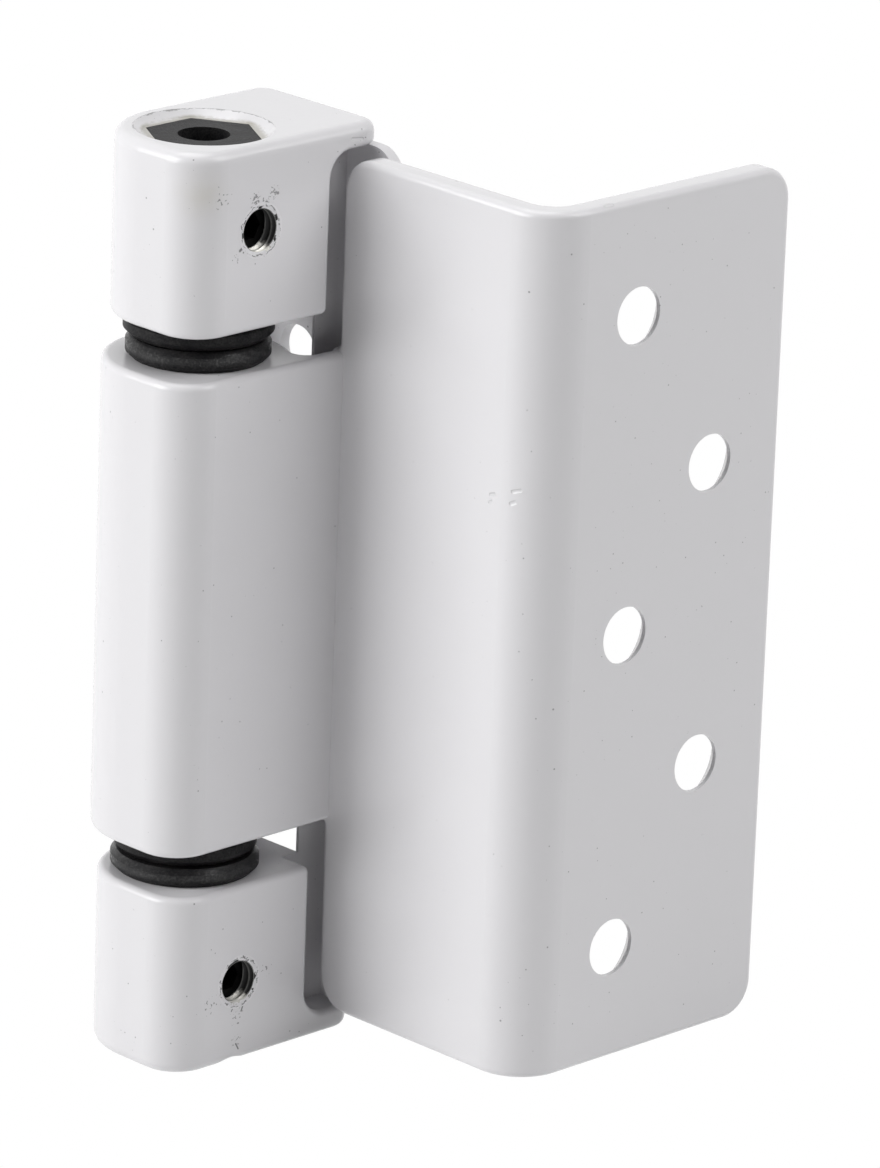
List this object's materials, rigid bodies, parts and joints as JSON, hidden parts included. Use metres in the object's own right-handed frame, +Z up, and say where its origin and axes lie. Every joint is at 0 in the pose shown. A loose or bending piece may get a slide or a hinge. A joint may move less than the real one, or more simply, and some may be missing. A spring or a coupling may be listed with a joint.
{
  "type": "corner hinge",
  "caption": "Wrap-round corner hinge: an angled leaf with a long barrel turns on a hidden pin between the two lugs of a cast fork.",
  "frame": {"origin": "on the mounting face of the fork, midway between its two screw holes", "axes": "+Z up along the pin, +X out of the mounting face into the frame, +Y to the back, away from the second leg of the leaf"},
  "size_m": [0.0611, 0.0517, 0.1068],
  "materials": {
    "fork_coat": "glossy white powder coat on cast zinc",
    "leaf_coat": "glossy white powder coat on cast zinc",
    "pin_steel": "turned steel",
    "black_nylon": "matte black nylon",
    "black_steel": "black oxide steel"
  },
  "bodies": {
    "fork": {"fork_body": "fork_coat", "hinge_pin": "pin_steel", "upper_hex_bush": "black_nylon", "lower_hex_bush": "black_nylon", "upper_grub_screw": "black_steel", "lower_grub_screw": "black_steel"},
    "leaf": {"leaf_body": "leaf_coat", "upper_barrel_bush": "black_nylon", "lower_barrel_bush": "black_nylon"}
  },
  "joints": [
    {"name": "leaf_swing", "type": "hinge", "parent": "fork", "child": "leaf", "pos_m": [-0.0181, -0.0017, 0], "axis": [0, 0, -1], "range_deg": [0, 180]}
  ]
}
